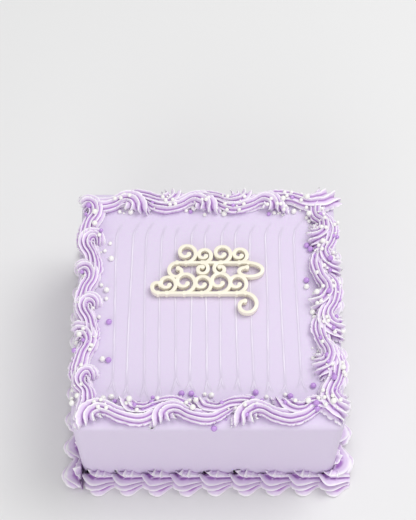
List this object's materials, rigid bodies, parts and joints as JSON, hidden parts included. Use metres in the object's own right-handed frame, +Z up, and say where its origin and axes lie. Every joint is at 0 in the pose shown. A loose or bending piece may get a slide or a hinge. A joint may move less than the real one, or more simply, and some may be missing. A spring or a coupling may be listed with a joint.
{
  "type": "small square celebration cake",
  "caption": "Square buttercream cake with reverse-shell piping round the top, shells round the foot, sugar pearls and a scrollwork topper.",
  "frame": {"origin": "centre of the flat base that the cake rests on", "axes": "+Z up; +X to the right and -Y towards the front, as the scrollwork topper is read"},
  "size_m": [0.1484, 0.1483, 0.0763],
  "materials": {
    "buttercream": "smooth lilac buttercream, satin",
    "piping": "piped lilac buttercream, satin",
    "white_pearl": "pearlescent white sugar",
    "purple_pearl": "pearlescent purple sugar",
    "topper": "ivory sheet, satin"
  },
  "bodies": {
    "root": {"cake": "buttercream", "top_border_front": "piping", "top_border_right": "piping", "top_border_back": "piping", "top_border_left": "piping", "foot_border_front": "piping", "foot_border_right": "piping", "foot_border_back": "piping", "foot_border_left": "piping", "scroll_plate": "topper"}
  },
  "joints": []
}
